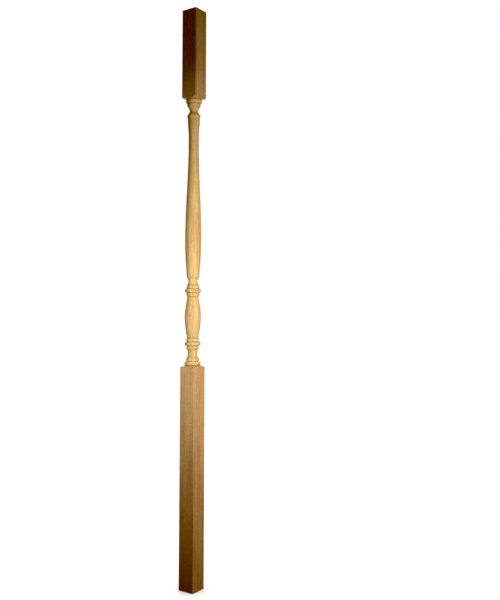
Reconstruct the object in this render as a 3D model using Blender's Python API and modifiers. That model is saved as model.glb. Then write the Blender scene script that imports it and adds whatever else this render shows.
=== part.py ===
"""A stair baluster, turned from one length of square hardwood.

The stock stays square at both ends, for the handrail above and the tread below, and a lathe cuts the
mouldings between them. The model is made the same way, from a square blank and the round envelope that
the lathe leaves. Their intersection is the baluster, so each shoulder curves across the flats as a real
cut does.

It stands on its foot, with the origin at the middle of the foot and +Z up. Sizes are in metres.
"""

import math

import bpy

INCH = 0.0254

# The square stock, and the three lengths that a stair fitter orders by. The squares run up to the collars.
SQUARE_SIDE = 1.25 * INCH
TOP_BLOCK_LENGTH = 6.625 * INCH
TURNED_LENGTH = 19.0 * INCH
BOTTOM_BLOCK_LENGTH = 15.375 * INCH
ARRIS_RADIUS = 0.035 * INCH

# Shoulders, where the lathe cuts the four corners off the square
SHOULDER_HEIGHT = 0.175 * INCH
SHOULDER_BOW = 0.022 * INCH

# Radii that several mouldings share
FULL_RADIUS = 0.57 * INCH
COLLAR_ROOT_RADIUS = 0.495 * INCH
RING_RADIUS = 0.47 * INCH
RING_EDGE_RADIUS = 0.375 * INCH
GROOVE_RADIUS = 0.425 * INCH
GROOVE_WIDTH = 0.045 * INCH

# Collar, cup and neck under the top block
TOP_COLLAR_HEIGHT = 0.26 * INCH
CUP_RADIUS = 0.485 * INCH
CUP_FILLET_HEIGHT = 0.11 * INCH
CUP_HEIGHT = 0.365 * INCH
TOP_NECK_RADIUS = 0.325 * INCH
TOP_NECK_HEIGHT = 0.21 * INCH

# The long column: a bevelled head with a soft lip, a waist, a belly and a rounded foot. Its length is what
# the other mouldings leave, and the swelling from waist to belly takes it up.
HEAD_ROOT_RADIUS = 0.33 * INCH
HEAD_RADIUS = 0.475 * INCH
HEAD_HEIGHT = 0.19 * INCH
LIP_RADIUS = 0.43 * INCH
LIP_HEIGHT = 0.32 * INCH
WAIST_RADIUS = 0.3625 * INCH
WAIST_FALL_HEIGHT = 1.25 * INCH
WAIST_HEIGHT = 0.4 * INCH
BELLY_FALL_HEIGHT = 2.5 * INCH
FOOT_RADIUS = 0.45 * INCH
FOOT_END_RADIUS = 0.41 * INCH
FOOT_HEIGHT = 0.2 * INCH

# The hollow neck under the column, and the sets of ring, bead and ring above and below the vase
UPPER_HOLLOW_ROOT_RADIUS = 0.385 * INCH
UPPER_HOLLOW_RADIUS = 0.315 * INCH
UPPER_HOLLOW_HEIGHT = 0.51 * INCH
RING_HEIGHT = 0.22 * INCH
BEAD_HEIGHT = 0.3 * INCH

# The vase
VASE_NECK_RADIUS = 0.4 * INCH
VASE_NECK_HEIGHT = 0.11 * INCH
VASE_HEIGHT = 2.8 * INCH

# The lower hollow neck, and the ring and collar on the bottom block
LOWER_HOLLOW_ROOT_RADIUS = 0.365 * INCH
LOWER_HOLLOW_RADIUS = 0.34 * INCH
LOWER_HOLLOW_HEIGHT = 0.505 * INCH
BOTTOM_RING_HEIGHT = 0.27 * INCH
BOTTOM_COLLAR_HEIGHT = 0.24 * INCH

# How finely the curves are cut
TURNED_SIDES = 40
ARRIS_SEGMENTS = 2
QUARTER_STEPS = 3
HOLLOW_STEPS = 6
CUP_STEPS = 5
SHOULDER_STEPS = 3
LIP_STEPS = 3
WAIST_STEPS = 5
SWELL_STEPS = 10
FALL_STEPS = 6
VASE_STEPS = 10

# The envelope clears the square's corners by this much, and both its ends
ENVELOPE_CLEARANCE = 0.15 * INCH
MERGE_DISTANCE = 0.00001

WOOD_COLOUR = (0.62, 0.40, 0.19, 1.0)
WOOD_ROUGHNESS = 0.48
SHARP_ANGLE = math.radians(40)

HALF_DIAGONAL = SQUARE_SIDE / math.sqrt(2)
TOTAL_LENGTH = BOTTOM_BLOCK_LENGTH + TURNED_LENGTH + TOP_BLOCK_LENGTH


def clear_scene():
    for obj in list(bpy.data.objects):
        bpy.data.objects.remove(obj, do_unlink=True)


def new_collection(name):
    collection = bpy.data.collections.new(name)
    bpy.context.scene.collection.children.link(collection)
    return collection


def move_to(collection, obj):
    for holder in list(obj.users_collection):
        holder.objects.unlink(obj)
    collection.objects.link(obj)


# Each moulding is a list of (radius, depth below its own top). The lathe works from the top block down.


def straight(start, end, height):
    return [(start, 0.0), (end, height)]


def curve(height, steps, radius_at):
    """Points at even depths, with the radius that radius_at gives for each share of the height."""
    return [(radius_at(i / steps), height * i / steps) for i in range(steps + 1)]


def quarter_round(start, end, height, steps=QUARTER_STEPS):
    """A convex quarter of an ellipse: out and down where the radius grows, down and in where it falls."""
    points = []
    for i in range(steps + 1):
        turn = math.pi / 2 * i / steps
        if end > start:
            points.append((start + (end - start) * math.sin(turn), height * (1 - math.cos(turn))))
        else:
            points.append((end + (start - end) * math.cos(turn), height * math.sin(turn)))
    return points


def ogee(start, end, height, steps):
    """An even S-curve that leaves and arrives along the axis."""
    return curve(height, steps, lambda t: start + (end - start) * (1 - math.cos(math.pi * t)) / 2)


def half_wave(root, crest, height, steps):
    """A swelling from root out to crest and back, or a hollow where crest is the smaller."""
    return curve(height, steps, lambda t: root + (crest - root) * math.sin(math.pi * t))


def opening_wave(start, end, height, steps):
    """A quarter of a wave that leaves along the axis."""
    return curve(height, steps, lambda t: end + (start - end) * math.cos(math.pi / 2 * t))


def stacked(mouldings):
    """One moulding from several, each starting at the depth where the one above it ends."""
    points = []
    depth = 0.0
    for moulding in mouldings:
        for radius, below in moulding:
            point = (radius, depth + below)
            if not points or math.dist(points[-1], point) > MERGE_DISTANCE:
                points.append(point)
        depth = points[-1][1]
    return points


def height_of(moulding):
    return moulding[-1][1]


def flipped(moulding):
    """The same moulding upside down."""
    height = height_of(moulding)
    return [(radius, height - below) for radius, below in reversed(moulding)]


def shoulder():
    """From the square's corner in to the collar, slightly bowed outwards."""
    reach = HALF_DIAGONAL - COLLAR_ROOT_RADIUS
    slope = math.hypot(reach, SHOULDER_HEIGHT)
    points = []
    for i in range(SHOULDER_STEPS + 1):
        share = i / SHOULDER_STEPS
        bow = 4 * share * (1 - share) * SHOULDER_BOW
        radius = HALF_DIAGONAL - reach * share + bow * SHOULDER_HEIGHT / slope
        points.append((radius, SHOULDER_HEIGHT * share + bow * reach / slope))
    return points


def bead(root, crest, height):
    return stacked(
        [
            quarter_round(root, crest, height / 2),
            quarter_round(crest, root, height / 2),
        ]
    )


def groove():
    return straight(GROOVE_RADIUS, GROOVE_RADIUS, GROOVE_WIDTH)


def ring_over_groove(height):
    return stacked([quarter_round(RING_EDGE_RADIUS, RING_RADIUS, height), groove()])


def bead_between_rings():
    ring = ring_over_groove(RING_HEIGHT)
    return stacked([ring, bead(GROOVE_RADIUS, FULL_RADIUS, BEAD_HEIGHT), flipped(ring)])


def head_mouldings():
    """What lies between the top block and the column."""
    return stacked(
        [
            bead(COLLAR_ROOT_RADIUS, FULL_RADIUS, TOP_COLLAR_HEIGHT),
            straight(CUP_RADIUS, CUP_RADIUS, CUP_FILLET_HEIGHT),
            ogee(CUP_RADIUS, TOP_NECK_RADIUS, CUP_HEIGHT, CUP_STEPS),
            straight(TOP_NECK_RADIUS, TOP_NECK_RADIUS, TOP_NECK_HEIGHT),
        ]
    )


def foot_mouldings():
    """What lies between the column and the bottom block."""
    return stacked(
        [
            half_wave(UPPER_HOLLOW_ROOT_RADIUS, UPPER_HOLLOW_RADIUS, UPPER_HOLLOW_HEIGHT, HOLLOW_STEPS),
            bead_between_rings(),
            straight(VASE_NECK_RADIUS, VASE_NECK_RADIUS, VASE_NECK_HEIGHT),
            half_wave(VASE_NECK_RADIUS, FULL_RADIUS, VASE_HEIGHT, VASE_STEPS),
            bead_between_rings(),
            half_wave(LOWER_HOLLOW_ROOT_RADIUS, LOWER_HOLLOW_RADIUS, LOWER_HOLLOW_HEIGHT, HOLLOW_STEPS),
            ring_over_groove(BOTTOM_RING_HEIGHT),
            bead(COLLAR_ROOT_RADIUS, FULL_RADIUS, BOTTOM_COLLAR_HEIGHT),
        ]
    )


def column(length):
    """The long tapered shaft. Its swelling takes what the fixed heights leave of the length."""
    over_waist = [
        straight(HEAD_ROOT_RADIUS, HEAD_RADIUS, HEAD_HEIGHT),
        ogee(HEAD_RADIUS, LIP_RADIUS, LIP_HEIGHT, LIP_STEPS),
        ogee(LIP_RADIUS, WAIST_RADIUS, WAIST_FALL_HEIGHT, WAIST_STEPS),
        straight(WAIST_RADIUS, WAIST_RADIUS, WAIST_HEIGHT),
    ]
    under_belly = [
        opening_wave(FULL_RADIUS, FOOT_RADIUS, BELLY_FALL_HEIGHT, FALL_STEPS),
        quarter_round(FOOT_RADIUS, FOOT_END_RADIUS, FOOT_HEIGHT),
    ]
    swelling = length - sum(height_of(moulding) for moulding in over_waist + under_belly)
    return stacked(over_waist + [ogee(WAIST_RADIUS, FULL_RADIUS, swelling, SWELL_STEPS)] + under_belly)


def turning():
    """All the mouldings between the two blocks."""
    head = head_mouldings()
    foot = foot_mouldings()
    return stacked([head, column(TURNED_LENGTH - height_of(head) - height_of(foot)), foot])


def lathe_envelope(collection):
    """The round solid that the lathe leaves, wide enough at both blocks to leave them square."""
    clear_radius = HALF_DIAGONAL + ENVELOPE_CLEARANCE
    cut = stacked([shoulder(), turning(), flipped(shoulder())])
    cut_top = BOTTOM_BLOCK_LENGTH + TURNED_LENGTH + SHOULDER_HEIGHT
    outline = [
        (0.0, TOTAL_LENGTH + ENVELOPE_CLEARANCE),
        (clear_radius, TOTAL_LENGTH + ENVELOPE_CLEARANCE),
        (clear_radius, cut_top),
    ]
    outline += [(radius, cut_top - depth) for radius, depth in cut]
    outline += [
        (clear_radius, cut_top - height_of(cut)),
        (clear_radius, -ENVELOPE_CLEARANCE),
        (0.0, -ENVELOPE_CLEARANCE),
    ]
    mesh = bpy.data.meshes.new("lathe_envelope")
    edges = [(i, i + 1) for i in range(len(outline) - 1)]
    mesh.from_pydata([(radius, 0.0, z) for radius, z in outline], edges, [])
    envelope = bpy.data.objects.new("lathe_envelope", mesh)
    collection.objects.link(envelope)
    screw = envelope.modifiers.new("turn", "SCREW")
    screw.axis = "Z"
    screw.angle = math.tau
    screw.steps = TURNED_SIDES
    screw.render_steps = TURNED_SIDES
    screw.use_merge_vertices = True
    screw.merge_threshold = MERGE_DISTANCE
    envelope.hide_render = True
    envelope.display_type = "WIRE"
    return envelope


def square_blank(collection):
    """The planed stock, with its four long arrises eased and its ends sawn square."""
    bpy.ops.mesh.primitive_cube_add(size=1.0, location=(0.0, 0.0, TOTAL_LENGTH / 2))
    blank = bpy.context.object
    blank.name = "baluster"
    blank.scale = (SQUARE_SIDE, SQUARE_SIDE, TOTAL_LENGTH)
    bpy.ops.object.transform_apply(location=True, rotation=False, scale=True)
    move_to(collection, blank)
    mesh = blank.data
    weights = mesh.attributes.new("bevel_weight_edge", "FLOAT", "EDGE")
    for edge in mesh.edges:
        low, high = (mesh.vertices[i].co.z for i in edge.vertices)
        weights.data[edge.index].value = 1.0 if abs(high - low) > TOTAL_LENGTH / 2 else 0.0
    arrises = blank.modifiers.new("eased_arrises", "BEVEL")
    arrises.limit_method = "WEIGHT"
    arrises.width = ARRIS_RADIUS
    arrises.segments = ARRIS_SEGMENTS
    return blank


def turn(blank, envelope):
    cut = blank.modifiers.new("lathe_cut", "BOOLEAN")
    cut.operation = "INTERSECT"
    cut.solver = "EXACT"
    cut.object = envelope


def shade_round(obj):
    """Takes the modifiers' result as the mesh, smooth round the axis and crisp at each fillet and groove."""
    evaluated = obj.evaluated_get(bpy.context.evaluated_depsgraph_get())
    mesh = bpy.data.meshes.new_from_object(evaluated)
    mesh.name = obj.name
    mesh.shade_smooth()
    mesh.set_sharp_from_angle(angle=SHARP_ANGLE)
    obj.modifiers.clear()
    obj.data = mesh


def wood():
    material = bpy.data.materials.new("turned_wood")
    material.use_nodes = True
    shader = material.node_tree.nodes["Principled BSDF"]
    shader.inputs["Base Color"].default_value = WOOD_COLOUR
    shader.inputs["Roughness"].default_value = WOOD_ROUGHNESS
    shader.inputs["Metallic"].default_value = 0.0
    material.diffuse_color = WOOD_COLOUR
    return material


def main():
    clear_scene()
    baluster_parts = new_collection("stair_baluster")
    cutters = new_collection("cutters")
    baluster = square_blank(baluster_parts)
    baluster.data.materials.append(wood())
    turn(baluster, lathe_envelope(cutters))
    shade_round(baluster)


main()
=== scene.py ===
# %% [markdown]
# # The looks of a turned stair baluster
#
# A baluster is one of the slim posts between a stair tread and the handrail. This one is a single length of
# pale golden hardwood: square at both ends, and turned on a lathe in between. The imported CAD model gives the
# true place and size of everything, so it is loaded first.

# %% Load the CAD model as the frame
import math

import bpy
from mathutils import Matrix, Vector


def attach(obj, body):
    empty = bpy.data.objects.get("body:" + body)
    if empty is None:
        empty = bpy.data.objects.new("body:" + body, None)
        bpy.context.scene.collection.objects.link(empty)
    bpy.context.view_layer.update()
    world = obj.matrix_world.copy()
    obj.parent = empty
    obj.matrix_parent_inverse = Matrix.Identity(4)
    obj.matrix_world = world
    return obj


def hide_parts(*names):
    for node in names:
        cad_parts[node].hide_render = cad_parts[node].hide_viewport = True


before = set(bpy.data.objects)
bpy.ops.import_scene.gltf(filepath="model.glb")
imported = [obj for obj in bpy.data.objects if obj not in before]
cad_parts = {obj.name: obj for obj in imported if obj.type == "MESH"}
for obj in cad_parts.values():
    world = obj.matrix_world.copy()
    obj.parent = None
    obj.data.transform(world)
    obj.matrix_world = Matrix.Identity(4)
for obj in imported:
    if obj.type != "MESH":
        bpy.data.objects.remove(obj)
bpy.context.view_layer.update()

# %% [markdown]
# ## The order sheet
#
# A turner works from a short list: the side of the square stock, the length of each square, and the length of
# the turning between them. Such parts are sold in inches, so the list is kept in inches and turned into metres
# once. The squares run up to the collars, and the shoulders are cut into them.

# %% The stock and its three lengths
INCH = 0.0254

SQUARE_SIDE = 1.25 * INCH
TOP_BLOCK_LENGTH = 6.625 * INCH
TURNED_LENGTH = 19.0 * INCH
BOTTOM_BLOCK_LENGTH = 15.375 * INCH
TOTAL_LENGTH = BOTTOM_BLOCK_LENGTH + TURNED_LENGTH + TOP_BLOCK_LENGTH
HALF_DIAGONAL = SQUARE_SIDE / math.sqrt(2)
ARRIS_RADIUS = 0.035 * INCH
SAWN_EDGE = 0.012 * INCH

print(f"stock {SQUARE_SIDE * 1000:.2f} mm square, {TOTAL_LENGTH * 1000:.1f} mm long")

# %% [markdown]
# ## Shapes that a chisel leaves
#
# Every moulding on the lathe is one of a few simple curves, cut with a gouge or a skew chisel. Each is written
# here as a list of points, (radius, depth below its own top), because the turner works down from the top block.
# The curves are formulas and not traced points, so a moulding can be made wider or finer by changing one number.


# %% The curves of the mouldings
SAME_POINT = 0.00001


def straight(start, end, height):
    return [(start, 0.0), (end, height)]


def curve(height, steps, radius_at):
    """Points at even depths, with the radius that radius_at gives for each share of the height."""
    return [(radius_at(i / steps), height * i / steps) for i in range(steps + 1)]


def quarter_round(start, end, height, steps=9):
    """A convex quarter of an ellipse: out and down where the radius grows, down and in where it falls."""
    points = []
    for i in range(steps + 1):
        turn = math.pi / 2 * i / steps
        if end > start:
            points.append((start + (end - start) * math.sin(turn), height * (1 - math.cos(turn))))
        else:
            points.append((end + (start - end) * math.cos(turn), height * math.sin(turn)))
    return points


def ogee(start, end, height, steps):
    """An even S-curve that leaves and arrives along the axis."""
    return curve(height, steps, lambda t: start + (end - start) * (1 - math.cos(math.pi * t)) / 2)


def half_wave(root, crest, height, steps):
    """A swelling from root out to crest and back, or a hollow where crest is the smaller."""
    return curve(height, steps, lambda t: root + (crest - root) * math.sin(math.pi * t))


def opening_wave(start, end, height, steps):
    """A quarter of a wave that leaves along the axis."""
    return curve(height, steps, lambda t: end + (start - end) * math.cos(math.pi / 2 * t))


def height_of(moulding):
    return moulding[-1][1]


def flipped(moulding):
    height = height_of(moulding)
    return [(radius, height - depth) for radius, depth in reversed(moulding)]


def stacked(mouldings):
    """One moulding from several, each starting at the depth where the one above it ends."""
    points, depth = [], 0.0
    for moulding in mouldings:
        for radius, below in moulding:
            point = (radius, depth + below)
            if not points or math.dist(points[-1], point) > SAME_POINT:
                points.append(point)
        depth = points[-1][1]
    return points


def bead(root, crest, height):
    return stacked([quarter_round(root, crest, height / 2), quarter_round(crest, root, height / 2)])


print("a bead has", len(bead(0.0, 1.0, 1.0)), "points")

# %% [markdown]
# ## The collars, rings and grooves
#
# The widest mouldings reach almost to the flats of the square, and share one radius, because the turner first
# brings the whole middle down to that cylinder. Each ring ends in a narrow groove, cut with the point of the
# skew. At reading distance a groove is a fine dark line, so it needs a real depth and not only a colour.

# %% Radii shared by several mouldings, and the sets made from them
FULL_RADIUS = 0.57 * INCH
COLLAR_ROOT_RADIUS = 0.495 * INCH
RING_RADIUS = 0.47 * INCH
RING_EDGE_RADIUS = 0.375 * INCH
RING_HEIGHT = 0.22 * INCH
BOTTOM_RING_HEIGHT = 0.27 * INCH
GROOVE_RADIUS = 0.425 * INCH
GROOVE_WIDTH = 0.045 * INCH
BEAD_HEIGHT = 0.3 * INCH


def ring_over_groove(height):
    groove = straight(GROOVE_RADIUS, GROOVE_RADIUS, GROOVE_WIDTH)
    return stacked([quarter_round(RING_EDGE_RADIUS, RING_RADIUS, height), groove])


ring = ring_over_groove(RING_HEIGHT)
bead_between_rings = stacked([ring, bead(GROOVE_RADIUS, FULL_RADIUS, BEAD_HEIGHT), flipped(ring)])
print(f"ring, bead and ring: {height_of(bead_between_rings) * 1000:.1f} mm high")

# %% [markdown]
# ## Head and foot of the turning
#
# Under the top block come a collar, a cup and a neck. Over the bottom block come a hollow neck, the first ring,
# bead and ring, the vase, the second set, another hollow, and the bottom collar.

# %% The head mouldings
TOP_COLLAR_HEIGHT = 0.26 * INCH
CUP_RADIUS = 0.485 * INCH
CUP_FILLET_HEIGHT = 0.11 * INCH
CUP_HEIGHT = 0.365 * INCH
CUP_STEPS = 14
TOP_NECK_RADIUS = 0.325 * INCH
TOP_NECK_HEIGHT = 0.21 * INCH

head_mouldings = stacked(
    [
        bead(COLLAR_ROOT_RADIUS, FULL_RADIUS, TOP_COLLAR_HEIGHT),
        straight(CUP_RADIUS, CUP_RADIUS, CUP_FILLET_HEIGHT),
        ogee(CUP_RADIUS, TOP_NECK_RADIUS, CUP_HEIGHT, CUP_STEPS),
        straight(TOP_NECK_RADIUS, TOP_NECK_RADIUS, TOP_NECK_HEIGHT),
    ]
)
print(f"head mouldings {height_of(head_mouldings) / INCH:.3f} in high")

# %% The foot mouldings
UPPER_HOLLOW_ROOT_RADIUS = 0.385 * INCH
UPPER_HOLLOW_RADIUS = 0.315 * INCH
UPPER_HOLLOW_HEIGHT = 0.51 * INCH
VASE_NECK_RADIUS = 0.4 * INCH
VASE_NECK_HEIGHT = 0.11 * INCH
VASE_HEIGHT = 2.8 * INCH
LOWER_HOLLOW_ROOT_RADIUS = 0.365 * INCH
LOWER_HOLLOW_RADIUS = 0.34 * INCH
LOWER_HOLLOW_HEIGHT = 0.505 * INCH
BOTTOM_COLLAR_HEIGHT = 0.24 * INCH
HOLLOW_STEPS = 16
VASE_STEPS = 36

foot_mouldings = stacked(
    [
        half_wave(UPPER_HOLLOW_ROOT_RADIUS, UPPER_HOLLOW_RADIUS, UPPER_HOLLOW_HEIGHT, HOLLOW_STEPS),
        bead_between_rings,
        straight(VASE_NECK_RADIUS, VASE_NECK_RADIUS, VASE_NECK_HEIGHT),
        half_wave(VASE_NECK_RADIUS, FULL_RADIUS, VASE_HEIGHT, VASE_STEPS),
        bead_between_rings,
        half_wave(LOWER_HOLLOW_ROOT_RADIUS, LOWER_HOLLOW_RADIUS, LOWER_HOLLOW_HEIGHT, HOLLOW_STEPS),
        ring_over_groove(BOTTOM_RING_HEIGHT),
        bead(COLLAR_ROOT_RADIUS, FULL_RADIUS, BOTTOM_COLLAR_HEIGHT),
    ]
)
print(f"foot mouldings {height_of(foot_mouldings) / INCH:.3f} in high")

# %% [markdown]
# ## The long column
#
# Between them stands the column: a bevelled head with a soft lip, a slim waist, a slow swelling to the belly,
# and a rounded foot. The swelling takes whatever length is left, so the column always fills its place.

# %% The column, and the whole turning
HEAD_ROOT_RADIUS = 0.33 * INCH
HEAD_RADIUS = 0.475 * INCH
HEAD_HEIGHT = 0.19 * INCH
LIP_RADIUS = 0.43 * INCH
LIP_HEIGHT = 0.32 * INCH
WAIST_RADIUS = 0.3625 * INCH
WAIST_FALL_HEIGHT = 1.25 * INCH
WAIST_HEIGHT = 0.4 * INCH
BELLY_FALL_HEIGHT = 2.5 * INCH
COLUMN_FOOT_RADIUS = 0.45 * INCH
COLUMN_FOOT_END_RADIUS = 0.41 * INCH
COLUMN_FOOT_HEIGHT = 0.2 * INCH
LIP_STEPS, WAIST_STEPS, SWELL_STEPS, FALL_STEPS, COLUMN_FOOT_STEPS = 8, 14, 34, 18, 8

over_waist = [
    straight(HEAD_ROOT_RADIUS, HEAD_RADIUS, HEAD_HEIGHT),
    ogee(HEAD_RADIUS, LIP_RADIUS, LIP_HEIGHT, LIP_STEPS),
    ogee(LIP_RADIUS, WAIST_RADIUS, WAIST_FALL_HEIGHT, WAIST_STEPS),
    straight(WAIST_RADIUS, WAIST_RADIUS, WAIST_HEIGHT),
]
under_belly = [
    opening_wave(FULL_RADIUS, COLUMN_FOOT_RADIUS, BELLY_FALL_HEIGHT, FALL_STEPS),
    quarter_round(COLUMN_FOOT_RADIUS, COLUMN_FOOT_END_RADIUS, COLUMN_FOOT_HEIGHT, COLUMN_FOOT_STEPS),
]
spoken_for = [head_mouldings, foot_mouldings, *over_waist, *under_belly]
swelling = TURNED_LENGTH - sum(height_of(moulding) for moulding in spoken_for)
swell = ogee(WAIST_RADIUS, FULL_RADIUS, swelling, SWELL_STEPS)
column = stacked([*over_waist, swell, *under_belly])
turning = stacked([head_mouldings, column, foot_mouldings])
print(f"swelling {swelling / INCH:.2f} in of {height_of(turning) / INCH:.3f} in turned")

# %% [markdown]
# ## Shoulders and softened corners
#
# Where the round meets the square, the lathe cuts the four corners off at a slope. That slope is slightly bowed,
# because the skew rolls as it cuts. A sanded piece has no razor edges either, so each sharp corner of the
# outline is replaced by a tiny curve. It is what catches the light along a fillet.

# %% The shoulder, and a helper that eases the corners of an outline
SHOULDER_HEIGHT = 0.175 * INCH
SHOULDER_BOW = 0.022 * INCH
SHOULDER_STEPS = 8
EASED_CORNER = 0.009 * INCH
LEAST_TURN = math.radians(24)
LONGEST_SHARE = 0.4
ALONG_CORNER = (0.0, 0.33, 0.67, 1.0)


def shoulder():
    """From the square's corner in to the collar, slightly bowed outwards."""
    reach = HALF_DIAGONAL - COLLAR_ROOT_RADIUS
    slope = math.hypot(reach, SHOULDER_HEIGHT)
    points = []
    for i in range(SHOULDER_STEPS + 1):
        share = i / SHOULDER_STEPS
        bow = 4 * share * (1 - share) * SHOULDER_BOW
        radius = HALF_DIAGONAL - reach * share + bow * SHOULDER_HEIGHT / slope
        points.append((radius, SHOULDER_HEIGHT * share + bow * reach / slope))
    return points


def eased(points):
    """The outline with a small curve at each corner that turns by more than LEAST_TURN."""
    result = [points[0]]
    for before, corner, after in zip(points, points[1:], points[2:]):
        before, corner, after = Vector(before), Vector(corner), Vector(after)
        into, out = corner - before, after - corner
        if into.angle(out) < LEAST_TURN:
            result.append(tuple(corner))
            continue
        start = corner - into.normalized() * min(EASED_CORNER, into.length * LONGEST_SHARE)
        end = corner + out.normalized() * min(EASED_CORNER, out.length * LONGEST_SHARE)
        for share in ALONG_CORNER:
            result.append(tuple(start.lerp(corner, share).lerp(corner.lerp(end, share), share)))
    return result + [points[-1]]


cut = eased(stacked([shoulder(), turning, flipped(shoulder())]))
print(len(cut), "points from shoulder to shoulder")

# %% [markdown]
# ## Where shade and highlight are painted
#
# The crests of a turning get a painted highlight, so they are a little paler. The grooves and the corners
# between two mouldings get a painted shade, so they are a little darker. To know which is which, each point of
# the outline is compared with the outline a short way above and below it. A hollow lies inside those two, and a
# crest outside.

# %% How hollow the outline is at each point
HOLLOW_REACH = 0.0011
FULL_HOLLOW = 0.0005


def radius_at(points, depth):
    """The outline's radius at this depth, and the square's corner beyond its ends."""
    for (first, above), (second, below) in zip(points, points[1:]):
        if above <= depth <= below and below > above:
            return first + (second - first) * (depth - above) / (below - above)
    return HALF_DIAGONAL


def hollowness(points):
    """For each point a share from -1 on a sharp crest to 1 in a deep groove."""
    shares = []
    for radius, depth in points:
        beside = (radius_at(points, depth - HOLLOW_REACH) + radius_at(points, depth + HOLLOW_REACH)) / 2
        shares.append(max(-1.0, min(1.0, (beside - radius) / FULL_HOLLOW)))
    return shares


cut_hollowness = hollowness(cut)
print(sum(share > 0.5 for share in cut_hollowness), "points lie in a groove or a corner")

# %% [markdown]
# ## Two paths along the axis
#
# Both solids of this piece are one section carried along the axis and scaled on the way. For the lathe's cut
# the section is a circle, and for the planed stock a square with eased corners. Each path is a line of points
# (size, 0, height), and Blender's nodes do the rest. The lathe's path also carries how hollow it is at each
# point, as an attribute that the nodes hand on to the mesh.

# %% The paths of the lathe and of the stock
CLEARANCE = 0.15 * INCH


def path_object(name, points):
    """A line of points in the XZ plane: x is how large the section is there, z the height."""
    mesh = bpy.data.meshes.new(name)
    edges = [(i, i + 1) for i in range(len(points) - 1)]
    mesh.from_pydata([(size, 0.0, z) for size, z in points], edges, [])
    path = bpy.data.objects.new(name, mesh)
    bpy.context.scene.collection.objects.link(path)
    return path


cut_top = BOTTOM_BLOCK_LENGTH + TURNED_LENGTH + SHOULDER_HEIGHT
wide = HALF_DIAGONAL + CLEARANCE
lathe_outline = [(wide, TOTAL_LENGTH + CLEARANCE), (wide, cut_top)]
lathe_outline += [(radius, cut_top - depth) for radius, depth in cut]
lathe_outline += [(wide, cut_top - height_of(cut)), (wide, -CLEARANCE)]
lathe_path = path_object("turned_baluster", lathe_outline)

no_hollow = [0.0, 0.0]
hollow = lathe_path.data.attributes.new("hollow", "FLOAT", "POINT")
hollow.data.foreach_set("value", [*no_hollow, *cut_hollowness, *no_hollow])

half_side = SQUARE_SIDE / 2
stock_path = path_object(
    "stock_path",
    [
        (half_side - SAWN_EDGE, 0.0),
        (half_side, SAWN_EDGE),
        (half_side, TOTAL_LENGTH - SAWN_EDGE),
        (half_side - SAWN_EDGE, TOTAL_LENGTH),
    ],
)
print(len(lathe_outline), "points on the lathe's path, 4 on the stock's")

# %% [markdown]
# ## Sweeping a section along a path
#
# The same small node group serves both. It keeps each point's x as the size of the section, moves the point on
# to the axis, and lets Curve to Mesh carry the section up. Writing it once as a group keeps the main tree short.


# %% A node group that sweeps a section along the axis
def socket(tree, name, kind, way="INPUT", default=None):
    made = tree.interface.new_socket(name, in_out=way, socket_type=kind)
    if default is not None:
        made.default_value = default
    return made


def add(tree, kind, options=None, **inputs):
    """A new node. Inputs are given by name, as a value or as the socket that feeds them."""
    node = tree.nodes.new(kind)
    for option, value in (options or {}).items():
        setattr(node, option, value)
    for name, value in inputs.items():
        feed(tree, node.inputs[name.replace("_", " ")], value)
    return node


def feed(tree, target, value):
    if isinstance(value, bpy.types.NodeSocket):
        tree.links.new(value, target)
    else:
        target.default_value = value


def sweep_group():
    tree = bpy.data.node_groups.new("sweep_along_axis", "GeometryNodeTree")
    socket(tree, "Path", "NodeSocketGeometry")
    socket(tree, "Section", "NodeSocketGeometry")
    socket(tree, "Mesh", "NodeSocketGeometry", "OUTPUT")
    given = tree.nodes.new("NodeGroupInput")
    rail = add(tree, "GeometryNodeMeshToCurve", Mesh=given.outputs["Path"])
    place = add(tree, "GeometryNodeInputPosition")
    split = add(tree, "ShaderNodeSeparateXYZ", Vector=place.outputs["Position"])
    sized = add(
        tree,
        "GeometryNodeSetCurveRadius",
        Curve=rail.outputs["Curve"],
        Radius=split.outputs["X"],
    )
    on_axis = add(tree, "ShaderNodeCombineXYZ", Z=split.outputs["Z"])
    centred = add(
        tree,
        "GeometryNodeSetPosition",
        Geometry=sized.outputs["Curve"],
        Position=on_axis.outputs["Vector"],
    )
    size = add(tree, "GeometryNodeInputRadius")
    swept = add(
        tree,
        "GeometryNodeCurveToMesh",
        Curve=centred.outputs["Geometry"],
        Profile_Curve=given.outputs["Section"],
        Scale=size.outputs["Radius"],
        Fill_Caps=True,
    )
    result = tree.nodes.new("NodeGroupOutput")
    feed(tree, result.inputs["Mesh"], swept.outputs["Mesh"])
    return tree


sweep = sweep_group()
print("sweep group has", len(sweep.nodes), "nodes")

# %% [markdown]
# ## Turning the stock
#
# A real baluster is what is left of a square stick after the lathe has cut it. The tree says the same: stock and
# lathe cut are swept, and their intersection is the piece. The curved edge of each shoulder comes out by
# itself, as it does on the machine. The flats of the stock are shaded flat and everything turned is smooth.
# Each face also remembers whether it was turned or planed, for the finish.


# %% The node tree of the whole piece
SHARP_ANGLE = math.radians(35)
ARRIS_STEPS = 6


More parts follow.
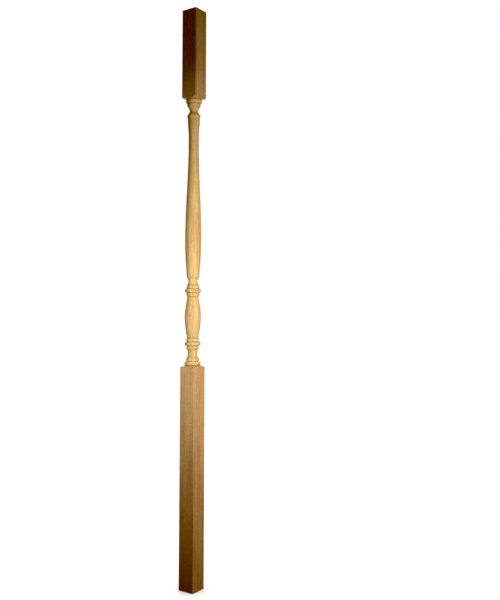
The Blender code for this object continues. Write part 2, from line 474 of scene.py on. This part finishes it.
def turning_tree():
    tree = bpy.data.node_groups.new("turn_baluster", "GeometryNodeTree")
    socket(tree, "Lathe Path", "NodeSocketGeometry")
    socket(tree, "Stock Path", "NodeSocketObject")
    socket(tree, "Round Sides", "NodeSocketInt", default=32)
    socket(tree, "Arris Share", "NodeSocketFloat", default=0.05)
    socket(tree, "Sharp Angle", "NodeSocketFloat", default=SHARP_ANGLE)
    socket(tree, "Wood", "NodeSocketMaterial")
    socket(tree, "Baluster", "NodeSocketGeometry", "OUTPUT")
    given = tree.nodes.new("NodeGroupInput")

    circle = add(tree, "GeometryNodeCurvePrimitiveCircle", Resolution=given.outputs["Round Sides"], Radius=1.0)
    cut_solid = add(tree, "GeometryNodeGroup", {"node_tree": sweep}, Path=given.outputs["Lathe Path"])
    feed(tree, cut_solid.inputs["Section"], circle.outputs["Curve"])

    square = add(tree, "GeometryNodeCurvePrimitiveQuadrilateral", Width=2.0, Height=2.0)
    arris = add(tree, "GeometryNodeFilletCurve", {"mode": "POLY"}, Curve=square.outputs["Curve"])
    feed(tree, arris.inputs["Count"], ARRIS_STEPS)
    feed(tree, arris.inputs["Radius"], given.outputs["Arris Share"])
    stock = add(tree, "GeometryNodeObjectInfo", Object=given.outputs["Stock Path"])
    stock_solid = add(tree, "GeometryNodeGroup", {"node_tree": sweep}, Path=stock.outputs["Geometry"])
    feed(tree, stock_solid.inputs["Section"], arris.outputs["Curve"])

    marked = [
        add(
            tree,
            "GeometryNodeStoreNamedAttribute",
            {"data_type": "FLOAT", "domain": "FACE"},
            Geometry=solid.outputs["Mesh"],
            Name="turned",
            Value=share,
        )
        for solid, share in ((stock_solid, 0.0), (cut_solid, 1.0))
    ]
    meet = add(tree, "GeometryNodeMeshBoolean", {"operation": "INTERSECT", "solver": "EXACT"})
    for one in marked:
        tree.links.new(one.outputs["Geometry"], meet.inputs["Mesh 2"])

    smooth = add(tree, "GeometryNodeSetShadeSmooth", {"domain": "FACE"}, Geometry=meet.outputs["Mesh"])
    feed(tree, smooth.inputs["Shade Smooth"], True)
    area = add(tree, "GeometryNodeInputMeshFaceArea")
    turned = add(tree, "GeometryNodeInputNamedAttribute", {"data_type": "FLOAT"}, Name="turned")
    wide_face = add(tree, "FunctionNodeCompare", {"operation": "GREATER_THAN"}, A=area.outputs["Area"])
    wide_face.inputs["B"].default_value = SQUARE_SIDE**2 / 2
    planed = add(tree, "FunctionNodeCompare", {"operation": "LESS_THAN"}, A=turned.outputs["Attribute"], B=0.5)
    flat_face = add(tree, "FunctionNodeBooleanMath", {"operation": "AND"})
    feed(tree, flat_face.inputs[0], wide_face.outputs["Result"])
    feed(tree, flat_face.inputs[1], planed.outputs["Result"])
    flats = add(tree, "GeometryNodeSetShadeSmooth", {"domain": "FACE"}, Geometry=smooth.outputs["Geometry"])
    feed(tree, flats.inputs["Selection"], flat_face.outputs["Boolean"])
    feed(tree, flats.inputs["Shade Smooth"], False)

    angle = add(tree, "GeometryNodeInputMeshEdgeAngle")
    steep = add(tree, "FunctionNodeCompare", {"operation": "GREATER_THAN"}, A=angle.outputs["Unsigned Angle"])
    feed(tree, steep.inputs["B"], given.outputs["Sharp Angle"])
    crisp = add(tree, "GeometryNodeSetShadeSmooth", {"domain": "EDGE"}, Geometry=flats.outputs["Geometry"])
    feed(tree, crisp.inputs["Selection"], steep.outputs["Result"])
    feed(tree, crisp.inputs["Shade Smooth"], False)

    real = add(tree, "GeometryNodeRealizeInstances", Geometry=crisp.outputs["Geometry"])
    finished = add(tree, "GeometryNodeSetMaterial", Geometry=real.outputs["Geometry"])
    feed(tree, finished.inputs["Material"], given.outputs["Wood"])
    result = tree.nodes.new("NodeGroupOutput")
    feed(tree, result.inputs["Baluster"], finished.outputs["Geometry"])
    return tree


turning_nodes = turning_tree()
print("turning tree has", len(turning_nodes.nodes), "nodes")

# %% [markdown]
# ## The wood, as a solid pattern
#
# Grain isn't painted on a board, it runs through it. So the pattern is a solid one, in the object's own
# coordinates: growth rings round a pith that lies outside the stick, wandering a little as a trunk does. The
# blocks then show straight stripes, the turned swellings show the long arches that a turner calls cathedrals,
# and the sawn ends show arcs, all from one pattern. Some small helpers keep the recipe readable.

# %% Helpers for the shader's nodes
wood = bpy.data.materials.new("turned_wood")
wood.use_nodes = True
grain = wood.node_tree
shader = grain.nodes["Principled BSDF"]


def maths(operation, *values, clamp=False):
    node = add(grain, "ShaderNodeMath", {"operation": operation, "use_clamp": clamp})
    for target, value in zip(node.inputs, values):
        feed(grain, target, value)
    return node.outputs["Value"]


def stretched(vector, scale, location=(0.0, 0.0, 0.0), rotation=(0.0, 0.0, 0.0)):
    node = add(grain, "ShaderNodeMapping", Vector=vector, Scale=scale)
    node.inputs["Location"].default_value = location
    node.inputs["Rotation"].default_value = rotation
    return node.outputs["Vector"]


def noise(vector, scale, detail=2.0, roughness=0.5):
    node = add(grain, "ShaderNodeTexNoise", Vector=vector, Scale=scale, Detail=detail, Roughness=roughness)
    return node.outputs


def eased_step(value, low, high, to_low=0.0, to_high=1.0):
    node = add(grain, "ShaderNodeMapRange", {"interpolation_type": "SMOOTHSTEP"}, Value=value)
    for name, number in (("From Min", low), ("From Max", high), ("To Min", to_low), ("To Max", to_high)):
        node.inputs[name].default_value = number
    return node.outputs["Result"]


# A Mix node has a set of sockets for each kind of value. These are the places of its colours.
MIX_FIRST, MIX_SECOND, MIX_RESULT = 6, 7, 2


def mixed(blend_type, first, second, share):
    """Two colours mixed. Each is a socket or plain (red, green, blue)."""
    node = add(grain, "ShaderNodeMix", {"data_type": "RGBA", "blend_type": blend_type})
    feed(grain, node.inputs["Factor"], share)
    for number, colour in ((MIX_FIRST, first), (MIX_SECOND, second)):
        is_socket = isinstance(colour, bpy.types.NodeSocket)
        feed(grain, node.inputs[number], colour if is_socket else (*colour, 1.0))
    return node.outputs[MIX_RESULT]


def blended(first, second, share):
    return mixed("MIX", first, second, share)


def tinted(colour, tint, share=1.0):
    """The colour multiplied by the tint, as far as share says."""
    return mixed("MULTIPLY", colour, tint, share)


spot = add(grain, "ShaderNodeTexCoord")
place = spot.outputs["Object"]
print("helpers ready")

# %% [markdown]
# ## Growth rings
#
# The tree grew a ring each year: pale spring wood, then a thin darker line of summer wood. The distance from the
# pith, divided by the width of a ring, counts the years. The part after the point runs from 0 to 1 across each
# ring, and a steep rise near 1 makes the line. The pith leans slightly, so that the rings run out of the
# stick's sides and make arches.

# %% Rings round a pith outside the stick
RING_WIDTH = 0.0026
PITH = (0.052, -0.034, 0.0)
PITH_LEAN = (math.radians(0.9), math.radians(-0.7), 0.0)
WANDER = (0.011, 0.011, 0.0)

wander = noise(stretched(place, (1.0, 1.0, 0.16)), 22.0, 2.0)["Color"]
shift = add(grain, "ShaderNodeVectorMath", {"operation": "MULTIPLY_ADD"})
feed(grain, shift.inputs[0], wander)
shift.inputs[1].default_value = WANDER
feed(grain, shift.inputs[2], place)
from_pith = add(grain, "ShaderNodeSeparateXYZ", Vector=stretched(shift.outputs[0], (1, 1, 1), PITH, PITH_LEAN))
squares = maths("ADD", maths("POWER", from_pith.outputs["X"], 2.0), maths("POWER", from_pith.outputs["Y"], 2.0))
years = maths("DIVIDE", maths("SQRT", squares), RING_WIDTH)
season = maths("FRACT", years)
summer = maths("MULTIPLY", eased_step(season, 0.45, 0.93), eased_step(season, 0.95, 1.0, 1.0, 0.0))
this_year = add(grain, "ShaderNodeTexWhiteNoise", {"noise_dimensions": "1D"}, W=maths("FLOOR", years))
summer_line = maths("MULTIPLY", summer, eased_step(this_year.outputs["Value"], 0.0, 1.0, 0.25, 1.0))
print("about", round(SQUARE_SIDE / RING_WIDTH), "rings across the stick")

# %% [markdown]
# ## Fibres, flecks and clouds
#
# Between the rings the wood is full of finer marks: fibres that run the length of the stick, short dark pores,
# pale ray flecks, a mottle of lighter and darker spots, a blush that shifts only the hue, a grit that the
# planer leaves, and slow clouds of warmer and cooler colour. All are noise, squeezed along Z so that its spots
# become streaks. What differs is only how far each is squeezed, and how fine it is.

# %% Finer marks along the grain
CLOUD_PLACE = (3.4, 0.85, 1.75)


def mark(squeeze, scale, detail=2.0, roughness=0.5, location=(0.0, 0.0, 0.0)):
    """Noise from 0 to 1 that is squeezed along Z. The smaller the squeeze, the longer its streaks."""
    return noise(stretched(place, (1.0, 1.0, squeeze), location), scale, detail, roughness)["Fac"]


fibre = mark(0.018, 1500.0, detail=3.0, roughness=0.6)
streak = mark(0.03, 300.0)
cloud = mark(0.12, 75.0, location=CLOUD_PLACE)
blush = mark(0.35, 140.0)
mottle = mark(0.7, 360.0, detail=3.0, roughness=0.7)
grit = mark(0.8, 620.0, roughness=0.7)
pores = eased_step(mark(0.07, 3200.0, detail=1.0), 0.64, 0.74)
flecks = eased_step(mark(0.3, 900.0, detail=1.0), 0.6, 0.72)
print("eight kinds of mark besides the rings")

# %% [markdown]
# ## From marks to colour
#
# The pale ground is a golden tan, and clouds pull it towards a pinker brown. The butt, which is the lowest fifth
# or so, is a little redder. On the top square one side, the -Y face, is darkened with painted shade.

# %% The ground colour, the butt and the painted shade on one side
GOLD = (0.70, 0.478, 0.197)
ROSE = (0.60, 0.382, 0.156)
MOST_ROSE = 0.85
BUTT_TINT = (0.974, 0.878, 0.85)
BUTT_FROM, BUTT_TO = 0.25, 0.14
# Painted shade that darkens the -Y face of the top square, near its middle.
SIDE_SHADE_TINT = (0.78, 0.74, 0.88)
SIDE_SHADE_HEIGHT = 0.945
SIDE_SHADE_FULL, SIDE_SHADE_GONE = 0.02, 0.11
SIDE_SHADE_OUTSIDE, SIDE_SHADE_INSIDE = -0.0152, -0.009

where = add(grain, "ShaderNodeSeparateXYZ", Vector=place).outputs
height = where["Z"]
from_side_shade = maths("ABSOLUTE", maths("SUBTRACT", height, SIDE_SHADE_HEIGHT))
along_side_shade = eased_step(from_side_shade, SIDE_SHADE_FULL, SIDE_SHADE_GONE, 1.0, 0.0)
across_side_shade = eased_step(where["Y"], SIDE_SHADE_OUTSIDE, SIDE_SHADE_INSIDE, 1.0, 0.0)

ground = blended(GOLD, ROSE, eased_step(cloud, 0.36, 0.70, 0.0, MOST_ROSE))
ground = tinted(ground, BUTT_TINT, eased_step(height, BUTT_TO, BUTT_FROM, 1.0, 0.0))
# Painted shade on the -Y face of the top square.
ground = tinted(ground, SIDE_SHADE_TINT, maths("MULTIPLY", along_side_shade, across_side_shade))
print("ground laid")

# %% [markdown]
# ## The marks on the ground
#
# Streaks, summer lines, fibres and mottle darken the ground, the blush turns it redder or greener, pores speckle
# it and flecks lighten it. Each has a tint of its own, and most of them turn the wood redder as they darken it,
# as dark wood does.

# %% Marks over the ground
STREAK_TINT = (0.78, 0.66, 0.52)
SUMMER_TINT = (0.70, 0.56, 0.42)
FIBRE_TINT = (0.84, 0.76, 0.66)
MOTTLE_TINT = (0.80, 0.72, 0.64)
REDDER, GREENER = (1.0, 0.94, 0.88), (0.95, 1.0, 1.0)
PORE_TINT = (0.62, 0.48, 0.36)
FLECK_COLOUR = (0.80, 0.56, 0.27)

ground = tinted(ground, STREAK_TINT, eased_step(streak, 0.45, 0.75, 0.0, 0.65))
ground = tinted(ground, SUMMER_TINT, maths("MULTIPLY", summer_line, 0.5))
ground = tinted(ground, FIBRE_TINT, eased_step(fibre, 0.35, 0.75, 0.0, 0.7))
ground = tinted(ground, MOTTLE_TINT, eased_step(mottle, 0.44, 0.66, 0.0, 0.75))
ground = tinted(ground, blended(REDDER, GREENER, eased_step(blush, 0.40, 0.60)))
ground = tinted(ground, PORE_TINT, maths("MULTIPLY", pores, 0.55))
ground = blended(ground, FLECK_COLOUR, maths("MULTIPLY", flecks, 0.22))
print("marks laid")

# %% [markdown]
# ## What the cutting did to the colour, and painted light
#
# End grain drinks in light and looks darker, so wherever the surface faces up or down, on the sawn ends and on
# the steep flanks of the mouldings, the colour deepens. Grooves get painted shade and crests a painted highlight,
# by the attribute that the lathe's path carries. The planed faces are darker than the turned ones, partly by
# their own duller tone and partly by painted shade, most of all on the top square, and only they show the grit.

# %% End grain, painted shade and highlight, and planed faces
END_GRAIN_TINT = (0.95, 0.92, 0.88)
SAWN_END_TINT = (0.78, 0.68, 0.58)
# Painted shade for grooves and corners, and a painted highlight for crests.
GROOVE_PAINTED_SHADE = (0.79, 0.75, 0.71)
CREST_PAINTED_HIGHLIGHT = (1.08, 1.13, 1.22)
# Planed faces: their own duller tone, and painted shade that darkens the top square most.
PLANED_TONE_AND_SHADE_HIGH = (0.738, 0.722, 0.765)
PLANED_TONE_AND_SHADE_LOW = (0.892, 0.831, 0.95)
PALER_FROM, PALER_TO = 0.85, 0.45
GRIT_DARK, GRIT_PALE = (0.87, 0.86, 0.89), (1.12, 1.13, 1.10)

facing = add(grain, "ShaderNodeSeparateXYZ", Vector=spot.outputs["Normal"])
up_or_down = maths("ABSOLUTE", facing.outputs["Z"])
end_grain = eased_step(up_or_down, 0.35, 0.97)
ground = tinted(ground, END_GRAIN_TINT, end_grain)
ground = tinted(ground, SAWN_END_TINT, eased_step(up_or_down, 0.96, 0.995))

hollow_share = add(grain, "ShaderNodeAttribute", {"attribute_name": "hollow"}).outputs["Fac"]
# Painted shade in grooves and corners, and a painted highlight on crests, by how hollow the outline is.
ground = tinted(ground, GROOVE_PAINTED_SHADE, eased_step(hollow_share, 0.15, 1.0))
ground = tinted(ground, CREST_PAINTED_HIGHLIGHT, eased_step(hollow_share, -0.6, -0.05, 1.0, 0.0))

was_turned = add(grain, "ShaderNodeAttribute", {"attribute_name": "turned"}).outputs["Fac"]
was_planed = maths("SUBTRACT", 1.0, was_turned)
# The planed faces' duller tone and painted shade, darkest on the top square.
planed_tone_and_shade = blended(PLANED_TONE_AND_SHADE_LOW, PLANED_TONE_AND_SHADE_HIGH, eased_step(height, PALER_TO, PALER_FROM))
ground = tinted(ground, planed_tone_and_shade, was_planed)
ground = tinted(ground, blended(GRIT_DARK, GRIT_PALE, eased_step(grit, 0.42, 0.60)), was_planed)
feed(grain, shader.inputs["Base Color"], ground)
print("colour made")

# %% [markdown]
# ## Gloss and the feel of the surface
#
# The piece is bare wood, sanded fine. It has a faint satin gloss that the pores and the end grain break up. The
# sander and the lathe leave marks too: fine hoops round the turned part, and fine lines along the planed squares.
# The relief is hundredths of a millimetre, so it is a bump and not geometry.

# %% Roughness and bump
GLOSSIEST, DULLEST, EXTRA_DULL = 0.44, 0.56, 0.12
FIBRE_RELIEF, TOOL_RELIEF, PORE_RELIEF = 0.5, 0.45, 0.5
RELIEF_DEPTH = 0.00012

hoops = noise(stretched(place, (0.05, 0.05, 1.0)), 2600.0, 2.0)["Fac"]
planing = noise(stretched(place, (1.0, 1.0, 0.01)), 2400.0, 2.0)["Fac"]

dull = maths("ADD", eased_step(fibre, 0.3, 0.8, GLOSSIEST, DULLEST), maths("MULTIPLY", pores, EXTRA_DULL))
dull = maths("ADD", dull, maths("MULTIPLY", end_grain, EXTRA_DULL), clamp=True)
feed(grain, shader.inputs["Roughness"], dull)
shader.inputs["Specular IOR Level"].default_value = 0.35
shader.inputs["Metallic"].default_value = 0.0

# Plain numbers have other places on a Mix node than colours have: 2 and 3 go in, 0 comes out.
tool_marks = add(grain, "ShaderNodeMix", {"data_type": "FLOAT"})
feed(grain, tool_marks.inputs["Factor"], was_turned)
feed(grain, tool_marks.inputs[2], planing)
feed(grain, tool_marks.inputs[3], hoops)

tooled = maths("MULTIPLY", tool_marks.outputs[0], TOOL_RELIEF)
relief = maths("ADD", maths("MULTIPLY", fibre, FIBRE_RELIEF), tooled)
relief = maths("SUBTRACT", relief, maths("MULTIPLY", pores, PORE_RELIEF))
bump = add(grain, "ShaderNodeBump", Strength=0.35, Distance=RELIEF_DEPTH, Height=relief)
feed(grain, shader.inputs["Normal"], bump.outputs["Normal"])
print("the wood has", len(grain.nodes), "nodes")

# %% [markdown]
# ## Cutting the piece
#
# Now the tree runs. Its sizes go in through the modifier's named inputs, and the result becomes a plain mesh,
# because what is handed on has to be a mesh and not a recipe. The lathe's path then holds the finished piece,
# and the stock's path is thrown away, as the shavings are.

# %% Run the tree and keep its mesh
ROUND_SIDES = 128


def set_input(modifier, name, value):
    for item in modifier.node_group.interface.items_tree:
        if item.item_type == "SOCKET" and item.in_out == "INPUT" and item.name == name:
            modifier[item.identifier] = value


baluster = lathe_path
lathe = baluster.modifiers.new("turn", "NODES")
lathe.node_group = turning_nodes
set_input(lathe, "Stock Path", stock_path)
set_input(lathe, "Round Sides", ROUND_SIDES)
set_input(lathe, "Arris Share", ARRIS_RADIUS / half_side)
set_input(lathe, "Sharp Angle", SHARP_ANGLE)
set_input(lathe, "Wood", wood)
turned_mesh = bpy.data.meshes.new_from_object(baluster.evaluated_get(bpy.context.evaluated_depsgraph_get()))
baluster.modifiers.clear()
baluster.data = turned_mesh
turned_mesh.name = "turned_baluster"
bpy.data.objects.remove(stock_path)

turned_mesh.calc_loop_triangles()
print(len(turned_mesh.loop_triangles), "triangles, materials", [m.name for m in turned_mesh.materials])

# %% [markdown]
# ## Joining the frame
#
# The finished piece stands exactly where the CAD solid stands, so it takes that solid's place on the same body.

# %% Stand for the CAD node
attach(baluster, "root")
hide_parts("baluster")
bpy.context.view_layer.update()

# %% [markdown]
# ## A plain white studio
#
# Catalogue photos of such parts are cut out on white. A wide white floor under a white surround gives the same
# from every side, with a soft shadow where the foot stands. The floor has a lamp of its own, so it can be bright
# without throwing its light back on the wood.

# %% The floor and its lamp
FLOOR_RADIUS = 30.0
FLOOR_LIGHT = 4.2
PAPER = (0.9, 0.9, 0.9, 1.0)

bpy.ops.mesh.primitive_circle_add(vertices=64, radius=FLOOR_RADIUS, fill_type="NGON")
floor = bpy.context.object
floor.name = "studio_floor"
paper = bpy.data.materials.new("white_paper")
paper.use_nodes = True
paper_shader = paper.node_tree.nodes["Principled BSDF"]
for name, value in (("Base Color", PAPER), ("Roughness", 1.0), ("Specular IOR Level", 0.0)):
    paper_shader.inputs[name].default_value = value
floor.data.materials.append(paper)
floor.visible_diffuse = False
floor.visible_glossy = False

lit_floor = bpy.data.collections.new("lit_floor")
lit_floor.objects.link(floor)
lit_piece = bpy.data.collections.new("lit_piece")
lit_piece.objects.link(baluster)

floor_light = bpy.data.lights.new("floor_lamp", "SUN")
floor_light.energy = FLOOR_LIGHT
floor_light.angle = math.radians(100)
floor_lamp = bpy.data.objects.new("floor_lamp", floor_light)
bpy.context.scene.collection.objects.link(floor_lamp)
floor_lamp.light_linking.receiver_collection = lit_floor
print("floor of", 2 * FLOOR_RADIUS, "m")

# %% [markdown]
# ## The light on the wood
#
# In the photograph the middle of the stick is bright and both ends fade. Three soft lamps with a limited spread
# do that: a strong one at the right, a weak one in front of it, and one that grazes the left faces. A fourth
# stands straight opposite the camera. It lights the hidden faces but not the limbs, which stay dark and keep the
# outline crisp. Two more shine down, one on the tops of the mouldings and one on the neck. The surround is white
# only where the camera sees it, and adds almost no light.


# %% The lamps and the surround
LAMP_DISTANCE = 33 * INCH
LAMP_SIZE = 16 * INCH
WHITE = (1.0, 1.0, 1.0, 1.0)
SURROUND_LIGHT = 0.005


def lamp(
    name, azimuth, height, power, size=LAMP_SIZE, spread=math.pi, distance=LAMP_DISTANCE, aim_height=None
):
    """A round soft lamp that looks at the axis. Azimuth 0 stands at -Y and 90 at +X."""
    light = bpy.data.lights.new(name, "AREA")
    light.shape = "DISK"
    light.size = size
    light.energy = power
    light.spread = spread
    made = bpy.data.objects.new(name, light)
    turn = math.radians(azimuth)
    outward = Vector((math.sin(turn), -math.cos(turn), 0.0))
    made.location = outward * distance + Vector((0.0, 0.0, height))
    aim = Vector((0.0, 0.0, height if aim_height is None else aim_height)) - made.location
    made.rotation_euler = aim.to_track_quat("-Z", "Y").to_euler()
    made.visible_camera = False
    bpy.context.scene.collection.objects.link(made)
    made.light_linking.receiver_collection = lit_piece
    return made


lamps = [
    lamp("right_key", 77.3, 19.5 * INCH, 2.11, spread=math.radians(89.6)),
    lamp("front_fill", 60.0, 23.5 * INCH, 0.36, spread=math.radians(74.3)),
    lamp("left_key", -12.0, 18.0 * INCH, 0.5, spread=math.radians(51.3)),
    lamp("behind", 218.5, 22 * INCH, 10.0, size=8 * INCH),
    lamp("overhead", 39, 100 * INCH, 3.5, distance=8 * INCH, aim_height=0.5),
    lamp("neck_glow", 55, 50 * INCH, 0.0027, size=3 * INCH, spread=math.radians(3), aim_height=34.2 * INCH),
]

world = bpy.data.worlds.new("white_surround")
bpy.context.scene.world = world
world.use_nodes = True
sky = world.node_tree
seen = add(sky, "ShaderNodeBackground", Color=WHITE, Strength=1.0)
low = add(sky, "ShaderNodeBackground", Color=WHITE, Strength=SURROUND_LIGHT)
path_kind = add(sky, "ShaderNodeLightPath")
either = add(sky, "ShaderNodeMixShader")
feed(sky, either.inputs["Fac"], path_kind.outputs["Is Camera Ray"])
feed(sky, either.inputs[1], low.outputs["Background"])
feed(sky, either.inputs[2], seen.outputs["Background"])
feed(sky, sky.nodes["World Output"].inputs["Surface"], either.outputs["Shader"])
print(len(lamps), "lamps on the wood")

# %% [markdown]
# ## Developing the picture
#
# The photograph was printed with deep blacks. Raising the black level of the picture does the same: it takes a
# little from every tone, so the dim ends of the stick go richer and darker while the white ground stays white.
# Most is taken from blue and least from red, because the photograph's dark tones turn redder.

# %% Black level
BLACK_LEVEL = (0.003, 0.021, 0.032)

developing = bpy.context.scene.view_settings
developing.view_transform = "Standard"
developing.use_curve_mapping = True
developing.curve_mapping.black_level = BLACK_LEVEL
developing.curve_mapping.update()
print("black level", [round(level, 3) for level in developing.curve_mapping.black_level])

# %% [markdown]
# ## The camera
#
# The stick fills the height of an upright picture, a little left of the middle, and is seen on one of its
# arrises from about 1.4 m away. The lens looks slightly up, and the picture is shifted down to hold the foot.
# Focal length and drop are counted in pixels of a picture that is 600 pixels high.

# %% The camera
FOCAL = 749.6
PICTURE_HEIGHT = 600
SENSOR = 36.0
CAMERA_TURN = math.radians(34.1)
CAMERA_PITCH = math.radians(4.38)
CAMERA_RIGHT = 4.06 * INCH
CAMERA_BACK = 53.36 * INCH
CAMERA_HEIGHT = 19.41 * INCH
PICTURE_DROP = 50

across = Vector((math.cos(CAMERA_TURN), math.sin(CAMERA_TURN), 0.0))
onward = Vector((-math.sin(CAMERA_TURN), math.cos(CAMERA_TURN), 0.0))
camera_data = bpy.data.cameras.new("camera")
camera_data.sensor_width = SENSOR
camera_data.lens = FOCAL / PICTURE_HEIGHT * SENSOR
camera_data.shift_y = -PICTURE_DROP / PICTURE_HEIGHT
camera = bpy.data.objects.new("camera", camera_data)
camera.location = across * CAMERA_RIGHT - onward * CAMERA_BACK + Vector((0.0, 0.0, CAMERA_HEIGHT))
aim = onward * math.cos(CAMERA_PITCH) + Vector((0.0, 0.0, math.sin(CAMERA_PITCH)))
camera.rotation_euler = aim.to_track_quat("-Z", "Y").to_euler()
bpy.context.scene.collection.objects.link(camera)
bpy.context.scene.camera = camera
print(f"lens {camera_data.lens:.1f} mm, camera at {[round(value, 3) for value in camera.location]}")
